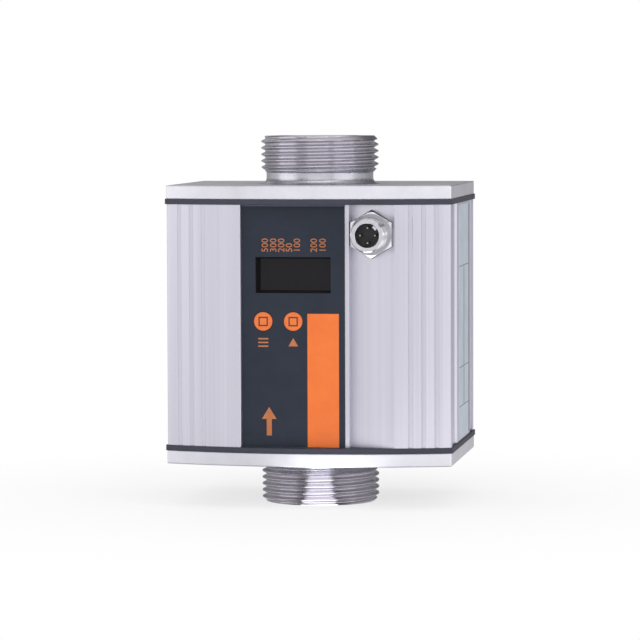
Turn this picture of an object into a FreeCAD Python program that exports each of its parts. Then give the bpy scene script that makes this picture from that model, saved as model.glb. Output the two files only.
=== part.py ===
import FreeCAD, Part
import math
import os

# In-line ultrasonic flow meter. Millimetres, +Z up along the pipe, front towards -Y.
# The origin is the centre of the lower pipe end.

# Measuring pipe, turned from stainless steel, with a parallel pipe thread at each end
thread_diameter = 41.91
thread_depth = 1.48
thread_length = 11.1        # pipe end to the last full thread
thread_chamfer = 1.5
pipe_wall = 3.45            # steel between the thread root and the bore
bore_chamfer = 0.8
neck_diameter = 38.1        # smooth neck between thread and collar
collar_step = 0.3           # the collar stands this far outside the thread
shoulder_step = 3.75        # the shoulder under each end cap stands this far outside the barrel
shoulder_height = 5.0
lower_spigot = 15.3         # pipe below the bottom end cap
upper_spigot = 17.1         # pipe above the top end cap

# Pipe seals, in grooves of the collars
pipe_seal_depth = 1.3
pipe_seal_height = 2.0
seal_slack = 0.02           # room left around a squeezed seal, a pressed pin or an insert

# End caps, gaskets and housing height
cap_thickness = 4.7
cap_overhang = 0.2          # end cap beyond the housing's outline
cap_edge_radius = 0.35
cap_hole_clearance = 0.2
gasket_thickness = 1.85
gasket_overhang = 0.6
housing_height = 84.9

# Housing, an aluminium extrusion with a bowed front
housing_width = 100.5
front_bow = 8.3             # the crown of the front stands this far ahead of its corners
housing_wall = 3.0
outline_corner_radius = 0.8
cavity_corner_radius = 1.5
side_post_width = 3.4       # upright post at each corner
side_channel_width = 15.0   # shallow channel between a front post and the side's middle panel
side_back_channel_width = 10.5
side_channel_depth = 0.85
side_channel_lean = 0.4     # slant of the channel's wall at the middle panel
groove_width = 1.5
groove_depth = 0.4
groove_count = 3
groove_pitch = 4.45
groove_inset = 4.8          # outermost front groove from the housing's side

# End cap screws, countersunk, in screw channels of the housing
screw_radius = 1.5
screw_head_radius = 3.0
screw_head_sink = 0.1       # head below the cap's face
screw_engagement = 10.0
screw_socket_radius = 1.15  # to the corners of the hexagonal socket
screw_socket_depth = 1.2
screw_side_inset = 4.95     # screw axis from the housing's side
screw_front_inset = 6.6     # screw axis behind the front corners
screw_back_inset = 4.4      # screw axis ahead of the back
channel_radius = 4.0
screw_clearance = 0.06

# Front label and display window
label_thickness = 0.3
label_sink = 4.0            # label seat behind the crown of the front
label_centre_x = -4.6
label_margin = 3.05         # label beyond the bezel's flange
label_end_gap = 0.12        # bare metal above and below the label
label_side_gap = 0.1
recess_bevel = 0.35         # bevel along the left edge of the label's recess
plate_thickness = 0.15      # film on the right side's middle panel
plate_front_gap = 6.0       # bare metal ahead of the film
plate_back_gap = 0.6
plate_top_gap = 0.75        # bare metal above the film
plate_bottom_gap = 0.6
window_width = 26.5
window_height = 12.6
window_drop = 24.6          # window centre below the housing's top
bezel_depth = 5.1           # label seat to window pane
bezel_taper = 0.75
bezel_rim = 1.0
bezel_lip = 1.0
bezel_flange_thickness = 1.2
bezel_clearance = 0.1
pane_thickness = 1.0
pane_lap = 0.7              # pane beyond the bezel's inner opening
display_thickness = 1.9
display_margin = 0.6        # display module beyond the pane
led_count = 7
led_pitch = 3.2
led_width = 1.4
led_height = 0.9
led_depth = 0.5
led_drop = 1.5              # row of lights below the display's top edge

# Circuit boards
board_thickness = 1.6
board_pipe_gap = 2.0        # display board to pipe barrel
board_end_gap = 2.65        # display board to the upper shoulder
board_side_gap = 1.0        # display board inside the label's edge
board_step_gap = 0.25       # display board to the wall behind the socket
board_below_buttons = 16.5
standoff_radius = 2.2
standoff_inset = 2.9
standoff_right_inset = 7.5
standoff_length = 4.5       # measuring board to the back wall
board_screw_radius = 1.25
board_screw_head_radius = 2.1
board_screw_head_height = 1.3
board_screw_depth = 4.0
measuring_board_side_gap = 10.1
measuring_board_end_gap = 6.0
measuring_standoff_inset = 4.0
chip_size = 12.0
chip_thickness = 1.5
chip_count = 3
chip_pitch = 20.0
chip_inset = 15.0           # chip centres inside the measuring board's right edge

# Push buttons and their switches
button_radius = 3.25
button_spacing = 10.6
button_below_window = 9.9
button_proud = 0.12
button_clearance = 0.1
button_flange_radius = 4.25
button_flange_thickness = 0.8
button_seat_gap = 0.05
button_stem_radius = 1.5
button_travel = 0.5
switch_size = 6.0
switch_height = 2.2
plunger_radius = 1.6
plunger_proud = 1.0
plunger_seat = 1.0
plunger_clearance = 0.1
plunger_floor_gap = 0.2     # room under the plunger at full travel

# Round socket with four pins, on a ramp beside the label
ramp_drop = 3.0             # foot of the ramp behind the label seat
land_width = 1.4            # bare land between the label and the step down to the ramp
ramp_width = 16.05          # ramp from its foot out to the front's arc
connector_offset = 9.25     # socket axis from the label seat's right edge
connector_drop = 10.35      # socket axis below the housing's top
hex_wall = 0.35             # hexagon's flats beyond its seal
hex_thickness = 4.4
hex_chamfer = 0.6
hex_seat_clearance = 0.2    # room between the hexagon's corners and the seat sunk into the ramp
barrel_radius = 6.0
barrel_length = 10.6
barrel_chamfer = 0.5
socket_radius = 4.15
socket_depth = 6.6
key_width = 1.6
key_height = 0.9
pin_radius = 0.5
pin_circle_radius = 2.6
pin_length = 5.0
pin_count = 4
shell_hole_clearance = 0.1
socket_seal_width = 0.6
socket_seal_height = 1.1
socket_seal_gap = 0.3       # seal groove from the barrel
nut_across_flats = 16.0
nut_thickness = 2.4
shell_tail = 0.6            # shell behind the nut
cable_radius = 1.2
cable_bend = 1.8
cable_clearance = 0.25
header_depth = 2.4
header_margin = 1.0
header_edge_gap = 0.5

# Ribbon between the two boards
ribbon_width = 10.0
ribbon_thickness = 0.9
ribbon_gap = 4.0            # ribbon to pipe barrel
ribbon_bend = 3.0
ribbon_lead_in = 1.2
ribbon_header_height = 3.2
ribbon_header_length = 5.0
ribbon_above_middle = 20.0

# Ultrasonic transducers behind the pipe, and the reflectors that face them
transducer_spacing = 44.0
pad_height = 3.75           # transducer pad above the barrel
pad_half_width = 16.0
pad_half_height = 11.0
nose_radius = 7.0
nose_clearance = 0.1
nose_reach = 0.2            # nose inside the bore's wall
transducer_flange_radius = 10.0
transducer_flange_thickness = 3.0
can_radius = 8.0
can_length = 4.0
transducer_seal_width = 1.6
transducer_seal_height = 1.4
clamp_thickness = 2.0
clamp_hole_clearance = 0.2
clamp_screw_inset = 3.0
clamp_screw_radius = 1.5
clamp_screw_head_radius = 2.75
clamp_screw_head_height = 2.0
clamp_screw_depth = 7.0
lead_radius = 0.4
lead_half_spacing = 3.0
lead_length = 2.8           # transducer to measuring board
reflector_radius = 5.0
reflector_sink = 0.3        # reflector's foot inside the barrel's surface

# Temperature probe, between the transducers
probe_radius = 2.5
probe_reach = 4.0           # probe tip inside the bore
probe_clearance = 0.05
probe_boss_radius = 7.0
probe_head_radius = 5.5
probe_head_thickness = 4.0
probe_tail_radius = 2.0
probe_tail_length = 3.0
probe_seal_width = 1.2
probe_seal_height = 1.1
probe_lead_radius = 0.9

# Two edges nearer than this are at the same place
same_place = 1e-6

# Heights worked out from the sizes above
cap0 = lower_spigot
gasket0 = cap0 + cap_thickness
housing0 = gasket0 + gasket_thickness
housing1 = housing0 + housing_height
gasket1 = housing1 + gasket_thickness
cap1 = gasket1 + cap_thickness
pipe_length = cap1 + upper_spigot
middle_z = (housing0 + housing1) / 2
window_z = housing1 - window_drop
button_z = window_z - window_height / 2 - button_below_window
connector_z = housing1 - connector_drop
transducer_heights = {
    "upper": middle_z + transducer_spacing / 2,
    "lower": middle_z - transducer_spacing / 2,
}

# Radii of the pipe
thread_radius = thread_diameter / 2
bore_radius = thread_radius - thread_depth - pipe_wall
neck_radius = neck_diameter / 2
collar_radius = thread_radius + collar_step
shoulder_radius = collar_radius + shoulder_step
cap_hole_radius = collar_radius + cap_hole_clearance

# Planes from the pipe forwards: board, display, pane, label seat, crown
board_back_y = -collar_radius - board_pipe_gap
board_front_y = board_back_y - board_thickness
display_front_y = board_front_y - display_thickness
pane_front_y = display_front_y - pane_thickness
label_seat_y = pane_front_y - bezel_depth
label_inner_y = label_seat_y + housing_wall
crown_y = label_seat_y - label_sink
foot_y = label_seat_y + ramp_drop
foot_inner_y = foot_y + housing_wall
outside_y = crown_y - label_sink

# Planes from the pipe backwards: transducers, measuring board, back wall
pad_y = collar_radius + pad_height
flange_back_y = pad_y + transducer_flange_thickness
clamp_back_y = flange_back_y + clamp_thickness
can_back_y = flange_back_y + can_length
measuring_front_y = can_back_y + lead_length
measuring_back_y = measuring_front_y + board_thickness
back_inner_y = measuring_back_y + standoff_length
back_y = back_inner_y + housing_wall

# Housing outline in plan
half_width = housing_width / 2
front_radius = (half_width ** 2 + front_bow ** 2) / (2 * front_bow)
front_centre_y = crown_y + front_radius
corner_y = crown_y + front_bow
panel_front_y = corner_y + side_post_width + side_channel_width
panel_back_y = back_y - side_post_width - side_back_channel_width

# Places across the front
bezel_half_width = window_width / 2 + bezel_rim
bezel_half_height = window_height / 2 + bezel_rim
label_half_width = bezel_half_width + bezel_lip + label_margin
label_left = label_centre_x - label_half_width
label_right = label_centre_x + label_half_width
ramp_left = label_right + land_width
ramp_right = ramp_left + ramp_width
step_x = ramp_left - housing_wall
connector_x = label_right + connector_offset
hex_across_flats = 2 * (barrel_radius + socket_seal_gap + socket_seal_width + hex_wall)
hex_corner_radius = hex_across_flats / math.sqrt(3)
nut_corner_radius = nut_across_flats / math.sqrt(3)
seat_corner_radius = hex_corner_radius + hex_seat_clearance
button_places = {"mode": label_centre_x - button_spacing, "set": label_centre_x}

# Display board edges
board_left = label_left + board_side_gap
board_right = step_x - board_step_gap
board_top = gasket1 - shoulder_height - board_end_gap
board_bottom = button_z - board_below_buttons
display_standoffs = [
    (x, z)
    for x in (board_left + standoff_inset, board_right - standoff_right_inset)
    for z in (board_bottom + standoff_inset, board_top - standoff_inset)
]

# Measuring board edges
measuring_half_width = half_width - housing_wall - measuring_board_side_gap
chip_x = measuring_half_width - chip_inset
measuring_bottom = housing0 + measuring_board_end_gap
measuring_top = housing1 - measuring_board_end_gap
measuring_standoff_x = measuring_half_width - measuring_standoff_inset
measuring_standoffs = [
    (x, z)
    for x in (-measuring_standoff_x, measuring_standoff_x)
    for z in (measuring_bottom + measuring_standoff_inset, measuring_top - measuring_standoff_inset)
]

# End cap screw places in plan
screw_x = half_width - screw_side_inset
screw_places = [
    (x, y)
    for x in (-screw_x, screw_x)
    for y in (corner_y + screw_front_inset, back_y - screw_back_inset)
]

# Ribbon places
ribbon_x = -collar_radius - ribbon_gap
ribbon_z = middle_z + ribbon_above_middle
ribbon_header_left = ribbon_x + ribbon_bend + ribbon_lead_in
ribbon_front_y = board_back_y + ribbon_header_height / 2
ribbon_end_y = measuring_front_y - ribbon_header_height

# Socket cable places
shell_tail_y = foot_inner_y + nut_thickness + shell_tail
cable_y = board_back_y + cable_radius + cable_clearance
header_right = board_right - header_edge_gap


def vector(x, y, z):
    return FreeCAD.Vector(x, y, z)


def box(x0, x1, y0, y1, z0, z1):
    return Part.makeBox(x1 - x0, y1 - y0, z1 - z0, vector(x0, y0, z0))


def rod_y(x, z, radius, y0, y1):
    return Part.makeCylinder(radius, y1 - y0, vector(x, y0, z), vector(0, 1, 0))


def rod_z(x, y, radius, z0, z1):
    return Part.makeCylinder(radius, z1 - z0, vector(x, y, z0))


def ring_y(x, z, outer, inner, y0, y1):
    return rod_y(x, z, outer, y0, y1).cut(rod_y(x, z, inner, y0, y1))


def ring_z(outer, inner, z0, z1):
    return rod_z(0, 0, outer, z0, z1).cut(rod_z(0, 0, inner, z0, z1))


def turned_y(profile, x, z):
    # Turned piece from (radius, y) points, about an axis along Y through x and z
    points = [vector(radius, y, 0) for radius, y in profile]
    face = Part.Face(Part.makePolygon(points + points[:1]))
    solid = face.revolve(vector(0, 0, 0), vector(0, 1, 0), 360)
    solid.translate(vector(x, 0, z))
    return solid


def plan_prism(points, z0, z1):
    corners = [vector(x, y, z0) for x, y in points]
    face = Part.Face(Part.makePolygon(corners + corners[:1]))
    return face.extrude(vector(0, 0, z1 - z0))


def hex_prism(x, z, corner_radius, y0, y1):
    # Hexagonal prism along Y with a corner at the top
    corners = []
    for index in range(6):
        angle = math.radians(90 + 60 * index)
        corners.append(vector(x + corner_radius * math.cos(angle), y0, z + corner_radius * math.sin(angle)))
    face = Part.Face(Part.makePolygon(corners + corners[:1]))
    return face.extrude(vector(0, y1 - y0, 0))


def save(name, *solids):
    shape = solids[0] if len(solids) == 1 else Part.makeCompound(list(solids))
    shape.exportStep("parts/" + name + ".step")


def front_y(x, offset):
    # Front arc in plan, grown outwards by offset
    return front_centre_y - math.sqrt((front_radius + offset) ** 2 - x ** 2)


def upright_edges(solid, y):
    # Upright edges of a prism whose plan place is at y
    found = []
    for edge in solid.Edges:
        start = edge.Vertexes[0].Point
        end = edge.Vertexes[-1].Point
        upright = abs(start.x - end.x) + abs(start.y - end.y) < same_place
        if upright and abs(start.y - y) < same_place:
            found.append(edge)
    return found


def outline_prism(offset, z0, z1, corner_radius):
    # Prism over the housing's plan outline, grown by offset
    side = half_width + offset
    start_y = front_y(side, offset)
    back = back_y + offset
    plan = [(side, start_y), (side, back), (-side, back), (-side, start_y)]
    corners = [vector(x, y, z0) for x, y in plan]
    arc = Part.Arc(corners[-1], vector(0, front_y(0, offset), z0), corners[0])
    edges = [Part.LineSegment(a, b).toShape() for a, b in zip(corners, corners[1:])]
    face = Part.Face(Part.Wire(edges + [arc.toShape()]))
    solid = face.extrude(vector(0, 0, z1 - z0))
    return solid.makeFillet(corner_radius, upright_edges(solid, start_y) + upright_edges(solid, back))


def cavity(z0, z1):
    # Space inside the housing's wall, less the wall behind the label and the socket, and the screw channels
    space = outline_prism(-housing_wall, z0, z1, cavity_corner_radius)
    inner_right = connector_x + seat_corner_radius + housing_wall
    wall = [
        (label_left - housing_wall, outside_y),
        (label_left - housing_wall, label_inner_y),
        (step_x, label_inner_y),
        (step_x, foot_inner_y),
        (inner_right, foot_inner_y),
        (inner_right + foot_inner_y - outside_y, outside_y),
    ]
    space = space.cut(plan_prism(wall, z0, z1))
    for x, y in screw_places:
        space = space.cut(rod_z(x, y, channel_radius, z0, z1))
    return space


def spigot_profile(spigot, end_z, inward):
    # Outside of one pipe end as (radius, z), from the end face to the start of the neck's flare
    points = [
        (thread_radius - thread_chamfer, 0),
        (thread_radius, thread_chamfer),
        (thread_radius, thread_length),
        (neck_radius, thread_length + thread_radius - neck_radius),
        (neck_radius, spigot - (collar_radius - neck_radius)),
    ]
    return [(radius, end_z + inward * depth) for radius, depth in points]


def neck_flare(spigot, end_z, inward):
    # Quarter-round flare from the neck out to the collar
    flare = collar_radius - neck_radius
    start = vector(neck_radius, 0, end_z + inward * (spigot - flare))
    lean = flare * math.sqrt(0.5)
    middle = vector(collar_radius - lean, 0, end_z + inward * (spigot - flare + lean))
    end = vector(collar_radius, 0, end_z + inward * spigot)
    return start, middle, end


def collar_points(z0, z1):
    # Collar inside an end cap, with the groove for the pipe seal at half height
    low = (z0 + z1 - pipe_seal_height) / 2 - seal_slack
    high = (z0 + z1 + pipe_seal_height) / 2 + seal_slack
    root = collar_radius - pipe_seal_depth
    return [(collar_radius, low), (root, low), (root, high), (collar_radius, high)]


def pipe_blank():
    lower = spigot_profile(lower_spigot, 0, 1)
    upper = spigot_profile(upper_spigot, pipe_length, -1)
    low, high = gasket0 + shoulder_height, gasket1 - shoulder_height
    body = collar_points(cap0, gasket0)
    for first, last in ((gasket0, low), (high, gasket1)):
        body += [(collar_radius, first), (shoulder_radius, first)]
        body += [(shoulder_radius, last), (collar_radius, last)]
    body += collar_points(gasket1, cap1)
    bore = [(bore_radius + bore_chamfer, pipe_length), (bore_radius, pipe_length - bore_chamfer)]
    bore += [(bore_radius, bore_chamfer), (bore_radius + bore_chamfer, 0)]
    lower_flare = neck_flare(lower_spigot, 0, 1)
    upper_flare = neck_flare(upper_spigot, pipe_length, -1)
    edges = polyline(bore[-1:] + lower)
    edges.append(Part.Arc(*lower_flare).toShape())
    edges += polyline([(collar_radius, cap0)] + body + [(collar_radius, cap1)])
    edges.append(Part.Arc(*reversed(upper_flare)).toShape())
    edges += polyline(list(reversed(upper)) + bore)
    face = Part.Face(Part.Wire(edges))
    return face.revolve(vector(0, 0, 0), vector(0, 0, 1), 360)


def polyline(profile):
    points = [vector(radius, 0, z) for radius, z in profile]
    return [Part.LineSegment(a, b).toShape() for a, b in zip(points, points[1:])]


def clamp_screw_places(z):
    reach = pad_half_width - clamp_screw_inset
    return [(-reach, z), (reach, z)]


def measuring_pipe():
    pipe = pipe_blank()
    for z in transducer_heights.values():
        z0, z1 = z - pad_half_height, z + pad_half_height
        pipe = pipe.fuse(box(-pad_half_width, pad_half_width, 0, pad_y, z0, z1))
    pipe = pipe.fuse(rod_y(0, middle_z, probe_boss_radius, 0, pad_y))
    pipe = pipe.cut(rod_z(0, 0, bore_radius, cap0, cap1))
    for z in transducer_heights.values():
        pipe = pipe.cut(rod_y(0, z, nose_radius + nose_clearance, 0, pad_y))
        seat_radius = nose_radius + transducer_seal_width + nose_clearance
        pipe = pipe.cut(rod_y(0, z, seat_radius, pad_y - transducer_seal_height, pad_y))
        pipe = pipe.cut(rod_y(0, z, reflector_radius + seal_slack, -collar_radius, 0))
        for x, screw_z in clamp_screw_places(z):
            hole_radius = clamp_screw_radius + screw_clearance
            pipe = pipe.cut(rod_y(x, screw_z, hole_radius, pad_y - clamp_screw_depth, pad_y))
    pipe = pipe.cut(rod_y(0, middle_z, probe_radius + probe_clearance, 0, pad_y))
    probe_seat = probe_radius + probe_seal_width + probe_clearance
    pipe = pipe.cut(rod_y(0, middle_z, probe_seat, pad_y - probe_seal_height, pad_y))
    save("measuring_pipe", pipe.removeSplitter())


def pipe_seals():
    inner = collar_radius - pipe_seal_depth + seal_slack
    outer = cap_hole_radius - seal_slack
    for name, z0, z1 in (("lower_pipe_seal", cap0, gasket0), ("upper_pipe_seal", gasket1, cap1)):
        low = (z0 + z1 - pipe_seal_height) / 2
        save(name, ring_z(outer, inner, low, low + pipe_seal_height))


def cap_screw(x, y, face_z, inward, grow, depth):
    # Countersunk screw sunk into an end cap's outer face, grown for the hole that it sits in
    head = screw_head_radius - screw_radius
    top = vector(x, y, face_z + inward * screw_head_sink)
    axis = vector(0, 0, inward)
    cone = Part.makeCone(screw_head_radius + grow, screw_radius + grow, head, top, axis)
    return cone.fuse(Part.makeCylinder(screw_radius + grow, depth, top, axis))


def screw_set(name, face_z, inward):
    depth = cap_thickness + gasket_thickness + screw_engagement
    screws = []
    for x, y in screw_places:
        screw = cap_screw(x, y, face_z, inward, 0, depth)
        corners = []
        for index in range(6):
            angle = math.radians(60 * index)
            corner_x = x + screw_socket_radius * math.cos(angle)
            corners.append(vector(corner_x, y + screw_socket_radius * math.sin(angle), face_z))
        socket = Part.Face(Part.makePolygon(corners + corners[:1]))
        reach = inward * (screw_head_sink + screw_socket_depth)
        screws.append(screw.cut(socket.extrude(vector(0, 0, reach))))
    save(name, *screws)


def end_cap(name, z0, z1, face_z, inward):
    cap = outline_prism(cap_overhang, z0, z1, outline_corner_radius)
    rim = []
    for edge in cap.Edges:
        if abs(edge.BoundBox.ZMin - face_z) + abs(edge.BoundBox.ZMax - face_z) < same_place:
            rim.append(edge)
    cap = cap.makeFillet(cap_edge_radius, rim)
    cap = cap.cut(rod_z(0, 0, cap_hole_radius, z0, z1))
    for x, y in screw_places:
        cap = cap.cut(cap_screw(x, y, face_z, inward, screw_clearance, cap_thickness))
        mouth_radius = screw_head_radius + screw_clearance
        mouth = Part.makeCylinder(mouth_radius, screw_head_sink, vector(x, y, face_z), vector(0, 0, inward))
        cap = cap.cut(mouth)
    save(name, cap)


def gasket(name, z0, z1):
    ring = outline_prism(gasket_overhang, z0, z1, outline_corner_radius)
    ring = ring.cut(cavity(z0, z1))
    for x, y in screw_places:
        ring = ring.cut(rod_z(x, y, screw_radius + screw_clearance, z0, z1))
    save(name, ring)


def housing():
    shell = outline_prism(0, housing0, housing1, outline_corner_radius)
    shell = shell.cut(cavity(housing0, housing1))
    floor_x = half_width - side_channel_depth
    for post_y, panel_y in ((corner_y + side_post_width, panel_front_y), (back_y - side_post_width, panel_back_y)):
        lean = math.copysign(side_channel_lean, panel_y - post_y)
        for side in (-1, 1):
            inner, outer = side * floor_x, side * half_width
            channel = [(inner, post_y), (inner, panel_y), (outer, panel_y + lean), (outer, post_y)]
            shell = shell.cut(plan_prism(channel, housing0, housing1))
    bevel_x = label_left - recess_bevel
    recess = [
        (bevel_x, outside_y),
        (bevel_x, front_y(bevel_x, 0)),
        (label_left, front_y(label_left, 0) + recess_bevel),
        (label_left, label_seat_y),
        (ramp_left, label_seat_y),
        (ramp_left, foot_y),
        (ramp_right, front_y(ramp_right, 0)),
        (ramp_right, outside_y),
    ]
    shell = shell.cut(plan_prism(recess, housing0, housing1))
    shell = shell.cut(hex_prism(connector_x, connector_z, seat_corner_radius, outside_y, foot_y))
    for index in range(groove_count):
        for side in (-1, 1):
            x = side * (half_width - groove_inset - index * groove_pitch)
            left, right = x - groove_width / 2, x + groove_width / 2
            shell = shell.cut(box(left, right, outside_y, front_y(x, 0) + groove_depth, housing0, housing1))
    opening = window_block(bezel_half_width, bezel_half_height, bezel_clearance, label_seat_y, label_inner_y)
    shell = shell.cut(opening)
    for x in button_places.values():
        shell = shell.cut(rod_y(x, button_z, button_radius + button_clearance, label_seat_y, label_inner_y))
    hole_radius = barrel_radius + shell_hole_clearance
    shell = shell.cut(rod_y(connector_x, connector_z, hole_radius, foot_y, foot_inner_y))
    for x, y in screw_places:
        hole_depth = screw_engagement + screw_radius
        hole = screw_radius + screw_clearance
        shell = shell.cut(rod_z(x, y, hole, housing0, housing0 + hole_depth))
        shell = shell.cut(rod_z(x, y, hole, housing1 - hole_depth, housing1))
    save("housing", shell)


def window_block(half_x, half_z, grow, y0, y1):
    # Block centred on the display window
    x0, x1 = label_centre_x - half_x - grow, label_centre_x + half_x + grow
    return box(x0, x1, y0, y1, window_z - half_z - grow, window_z + half_z + grow)


def pane_half_sizes():
    lap = pane_lap - bezel_taper
    return window_width / 2 + lap, window_height / 2 + lap


def display_bezel():
    bezel = window_block(bezel_half_width, bezel_half_height, 0, label_seat_y, display_front_y)
    flange_end = label_inner_y + bezel_flange_thickness
    flange = window_block(bezel_half_width, bezel_half_height, bezel_lip, label_inner_y, flange_end)
    bezel = bezel.fuse(flange)
    rings = []
    for inset, y in ((0, label_seat_y), (bezel_taper, pane_front_y)):
        half_x, half_z = window_width / 2 - inset, window_height / 2 - inset
        x0, x1 = label_centre_x - half_x, label_centre_x + half_x
        z0, z1 = window_z - half_z, window_z + half_z
        corners = [vector(x0, y, z0), vector(x1, y, z0), vector(x1, y, z1), vector(x0, y, z1)]
        rings.append(Part.makePolygon(corners + corners[:1]))
    bezel = bezel.cut(Part.makeLoft(rings, True))
    half_x, half_z = pane_half_sizes()
    bezel = bezel.cut(window_block(half_x, half_z, bezel_clearance, pane_front_y, display_front_y))
    save("display_bezel", bezel)


def display():
    half_x, half_z = pane_half_sizes()
    save("display_window", window_block(half_x, half_z, 0, pane_front_y, display_front_y))
    module = window_block(half_x, half_z, display_margin, display_front_y, board_front_y)
    leds = []
    top = window_z + half_z - led_drop
    for index in range(led_count):
        x = label_centre_x + (index - (led_count - 1) / 2) * led_pitch
        led = box(x - led_width / 2, x + led_width / 2, display_front_y, display_front_y + led_depth,
                  top - led_height, top)
        module = module.cut(led)
        leds.append(led)
    save("display_module", module)
    save("indicator_leds", *leds)


def front_label():
    x0, x1 = label_left + label_side_gap, label_right - label_side_gap
    front = label_seat_y - label_thickness
    label = box(x0, x1, front, label_seat_y, housing0 + label_end_gap, housing1 - label_end_gap)
    label = label.cut(window_block(window_width / 2, window_height / 2, 0, front, label_seat_y))
    for x in button_places.values():
        label = label.cut(rod_y(x, button_z, button_radius + button_clearance, front, label_seat_y))
    save("front_label", label)


def side_label():
    label = box(half_width, half_width + plate_thickness, panel_front_y + plate_front_gap,
                panel_back_y - plate_back_gap, housing0 + plate_bottom_gap, housing1 - plate_top_gap)
    save("side_label", label)


def button(name, x):
    # Push button, its switch and the switch's plunger
    front = label_seat_y - label_thickness - button_proud
    flange_front = label_inner_y + button_seat_gap
    flange_back = flange_front + button_flange_thickness
    switch_front = board_front_y - switch_height
    plunger_front = switch_front - plunger_proud
    plunger_back = switch_front + plunger_seat
    profile = [
        (0, front),
        (button_radius, front),
        (button_radius, flange_front),
        (button_flange_radius, flange_front),
        (button_flange_radius, flange_back),
        (button_stem_radius, flange_back),
        (button_stem_radius, plunger_front),
        (0, plunger_front),
    ]
    save(name + "_button", turned_y(profile, x, button_z))
    save(name + "_switch_plunger", rod_y(x, button_z, plunger_radius, plunger_front, plunger_back))
    half = switch_size / 2
    switch = box(x - half, x + half, switch_front, board_front_y, button_z - half, button_z + half)
    floor = plunger_back + button_travel + plunger_floor_gap
    switch = switch.cut(rod_y(x, button_z, plunger_radius + plunger_clearance, switch_front, floor))
    save(name + "_switch", switch)


def standoffs_and_screws(name, places, y0, y1, screw_from):
    # Standoffs from y0 to y1, with screws through the board at the end named by screw_from
    inward = 1 if screw_from < y0 else -1
    axis = vector(0, inward, 0)
    standoffs = []
    screws = []
    for x, z in places:
        standoff = rod_y(x, z, standoff_radius, y0, y1)
        head_end = vector(x, screw_from, z)
        length = board_thickness + board_screw_depth
        hole = Part.makeCylinder(board_screw_radius + screw_clearance, length, head_end, axis)
        shank = Part.makeCylinder(board_screw_radius, length, head_end, axis)
        head = Part.makeCylinder(board_screw_head_radius, board_screw_head_height, head_end, axis * -1)
        standoffs.append(standoff.cut(hole))
        screws.append(shank.fuse(head))
    save(name + "_standoffs", *standoffs)
    save(name + "_screws", *screws)


def board(name, x0, x1, y0, z0, z1, places):
    plate = box(x0, x1, y0, y0 + board_thickness, z0, z1)
    for x, z in places:
        plate = plate.cut(rod_y(x, z, board_screw_radius + screw_clearance, y0, y0 + board_thickness))
    save(name, plate)


def boards():
    board("display_board", board_left, board_right, board_front_y, board_bottom, board_top, display_standoffs)
    standoffs_and_screws("display_board", display_standoffs, label_inner_y, board_front_y, board_back_y)
    board("measuring_board", -measuring_half_width, measuring_half_width, measuring_front_y,
          measuring_bottom, measuring_top, measuring_standoffs)
    standoffs_and_screws("measuring_board", measuring_standoffs, measuring_back_y, back_inner_y,
                         measuring_front_y)
    chips = []
    half = chip_size / 2
    for index in range(chip_count):
        z = middle_z + (index - (chip_count - 1) / 2) * chip_pitch
        chips.append(box(chip_x - half, chip_x + half, measuring_front_y - chip_thickness, measuring_front_y,
                         z - half, z + half))
    save("measuring_chips", *chips)


def ribbon():
    # Flat cable in plan: out of the front header, round one bend, back to the rear header
    half = ribbon_thickness / 2
    bend_x = ribbon_x + ribbon_bend
    bend_y = ribbon_front_y + ribbon_bend
    lean = math.sqrt(0.5)
    z0 = ribbon_z - ribbon_width / 2
    sides = []
    for radius in (ribbon_bend + half, ribbon_bend - half):
        run_y = bend_y - radius
        run_x = bend_x - radius
        middle = vector(bend_x - radius * lean, bend_y - radius * lean, z0)
        sides.append((vector(ribbon_header_left, run_y, z0), vector(bend_x, run_y, z0), middle,
                      vector(run_x, bend_y, z0), vector(run_x, ribbon_end_y, z0)))
    edges = []
    for start, turn, middle, leave, end in sides:
        edges.append(Part.LineSegment(start, turn).toShape())
        edges.append(Part.Arc(turn, middle, leave).toShape())
        edges.append(Part.LineSegment(leave, end).toShape())
    edges.append(Part.LineSegment(sides[0][0], sides[1][0]).toShape())
    edges.append(Part.LineSegment(sides[0][-1], sides[1][-1]).toShape())
    face = Part.Face(Part.Wire(Part.__sortEdges__(edges)))
    save("ribbon_cable", face.extrude(vector(0, 0, ribbon_width)))
    front = box(ribbon_header_left, ribbon_header_left + ribbon_header_length,
                board_back_y, board_back_y + ribbon_header_height, z0, z0 + ribbon_width)
    rear = box(ribbon_x - ribbon_header_length / 2, ribbon_x + ribbon_header_length / 2,
               ribbon_end_y, measuring_front_y, z0, z0 + ribbon_width)
    save("ribbon_headers", front, rear)


def pin_places():
    for index in range(pin_count):
        angle = 2 * math.pi * index / pin_count
        x = connector_x + pin_circle_radius * math.cos(angle)
        z = connector_z + pin_circle_radius * math.sin(angle)
        yield x, z


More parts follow.
